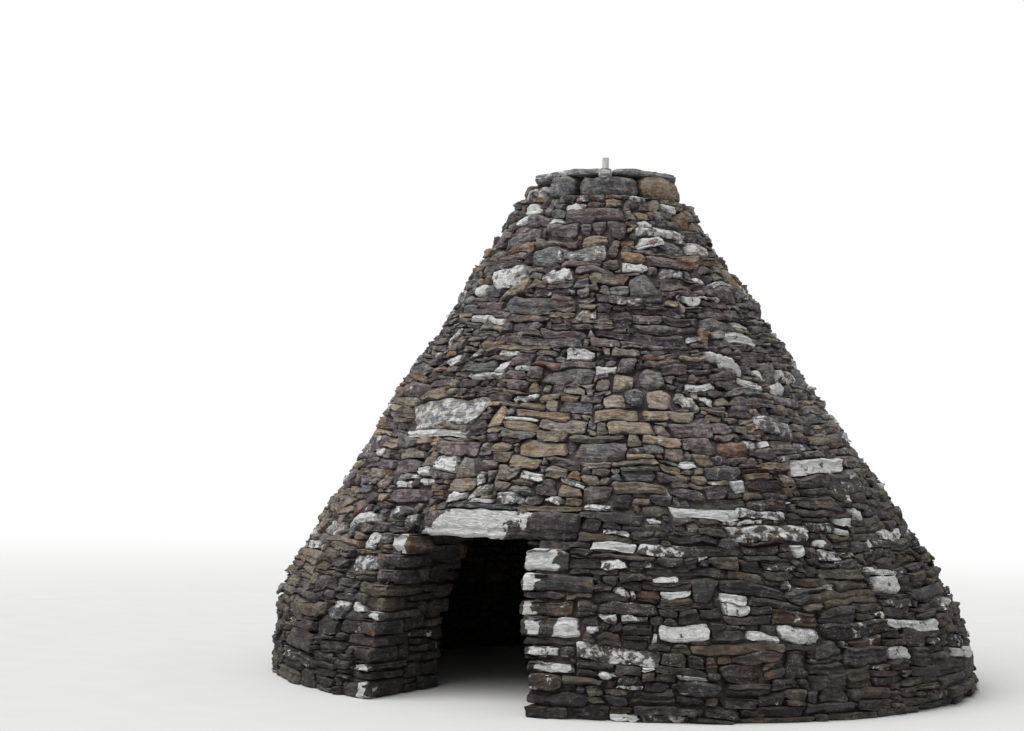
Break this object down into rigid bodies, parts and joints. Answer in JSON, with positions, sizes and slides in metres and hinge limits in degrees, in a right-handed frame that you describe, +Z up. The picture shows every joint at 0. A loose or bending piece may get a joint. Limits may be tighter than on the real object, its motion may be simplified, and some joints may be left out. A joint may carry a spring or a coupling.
{
  "type": "beehive hut",
  "caption": "Round drystone hut of corbelled flat slabs, tapering to a small slab-capped crown, with one low lintelled doorway.",
  "frame": {"origin": "middle of the foot of the wall, at ground level", "axes": "+Z up, the doorway faces -Y"},
  "size_m": [5.7146, 5.6544, 4.27],
  "materials": {
    "drystone": "rough, weathered purple-brown and grey sandstone with white lichen",
    "vent_plastic": "weathered pale grey"
  },
  "bodies": {
    "root": {"cap_slab_back": "drystone", "cap_slab_left": "drystone", "cap_slab_right": "drystone", "closing_slab": "drystone", "corbel_1_back": "drystone", "corbel_1_front": "drystone", "corbel_1_left": "drystone", "corbel_1_right": "drystone", "corbel_2_back_left": "drystone", "corbel_2_back_right": "drystone", "corbel_2_front_left": "drystone", "corbel_2_front_right": "drystone", "corbel_3_back": "drystone", "corbel_3_front": "drystone", "corbel_3_left": "drystone", "corbel_3_right": "drystone", "corbel_4_front": "drystone", "corbel_4_left": "drystone", "corbel_4_right": "drystone", "corbel_5_back": "drystone", "corbel_5_front": "drystone", "crown_hearting": "drystone", "crown_left": "drystone", "crown_right": "drystone", "footing_back_left": "drystone", "footing_back_right": "drystone", "footing_front_left": "drystone", "footing_front_right": "drystone", "footing_left": "drystone", "footing_right": "drystone", "inner_lintel": "drystone", "left_jamb_foot": "drystone", "left_jamb_head": "drystone", "middle_lintel": "drystone", "outer_lintel": "drystone", "right_jamb_foot": "drystone", "right_jamb_head": "drystone", "rim_blocks": "drystone", "vent_pipe": "vent_plastic", "wall_back_left": "drystone", "wall_back_right": "drystone", "wall_front_left": "drystone", "wall_front_right": "drystone", "wall_left": "drystone", "wall_right": "drystone"}
  },
  "joints": []
}
